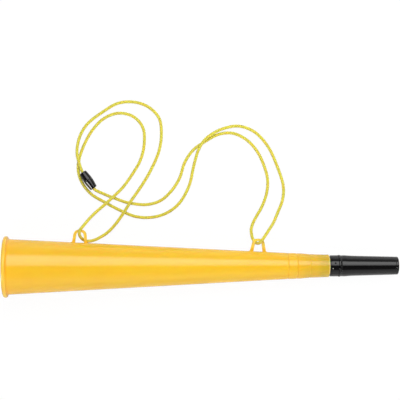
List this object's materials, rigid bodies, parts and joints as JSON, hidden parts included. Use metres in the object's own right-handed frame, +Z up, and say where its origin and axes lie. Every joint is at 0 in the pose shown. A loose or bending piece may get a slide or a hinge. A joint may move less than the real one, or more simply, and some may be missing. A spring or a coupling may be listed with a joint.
{
  "type": "vuvuzela",
  "caption": "Plastic fan horn: a long tapered horn with a beaded bell, two cord lugs and a push-fit mouthpiece with a beating reed, on a neck cord closed by a barrel connector.",
  "frame": {"origin": "Under the middle of the horn's own box, on the table that it lies on.", "axes": "+X runs along the horn from the bell to the mouthpiece, +Y is the side with the cord lugs, +Z is up from the table."},
  "size_m": [0.3814, 0.1906, 0.0587],
  "materials": {
    "yellow_plastic": "smooth, slightly translucent",
    "black_plastic": "smooth gloss",
    "reed_plastic": "moulded",
    "tongue_plastic": "thin sheet",
    "yellow_cord": "braided"
  },
  "bodies": {
    "horn_body": {"horn_cone": "yellow_plastic", "cord_left": "yellow_cord", "cord_loop": "yellow_cord", "cord_span": "yellow_cord", "cord_right": "yellow_cord", "connector_socket": "black_plastic", "cord_stop_socket": "yellow_cord"},
    "mouthpiece_body": {"mouthpiece_socket": "black_plastic", "reed_shallot": "reed_plastic", "reed_clamp": "black_plastic"},
    "mouth_tube_body": {"mouth_tube": "black_plastic"},
    "tongue_body": {"reed_tongue": "tongue_plastic"},
    "plug_body": {"connector_plug": "black_plastic", "cord_stop_plug": "yellow_cord", "cord_tail": "yellow_cord"}
  },
  "joints": [
    {"name": "mouthpiece_pull", "type": "slide", "parent": "horn_body", "child": "mouthpiece_body", "axis": [0.9985, 0, -0.0548], "range_m": [0, 0.011]},
    {"name": "mouth_tube_pull", "type": "slide", "parent": "mouthpiece_body", "child": "mouth_tube_body", "axis": [0.9985, 0, -0.0548], "range_m": [0, 0.032]},
    {"name": "reed_beat", "type": "hinge", "parent": "mouthpiece_body", "child": "tongue_body", "pos_m": [0.14084, -0.0031, 0.01318], "axis": [0, 1, 0], "range_deg": [-2, 2.5], "stiffness_Nm_per_rad": 0.004},
    {"name": "connector_release", "type": "slide", "parent": "horn_body", "child": "plug_body", "axis": [0.5764, -0.8171, 0], "range_m": [0, 0.005], "deforming": ["cord_tail"]}
  ]
}
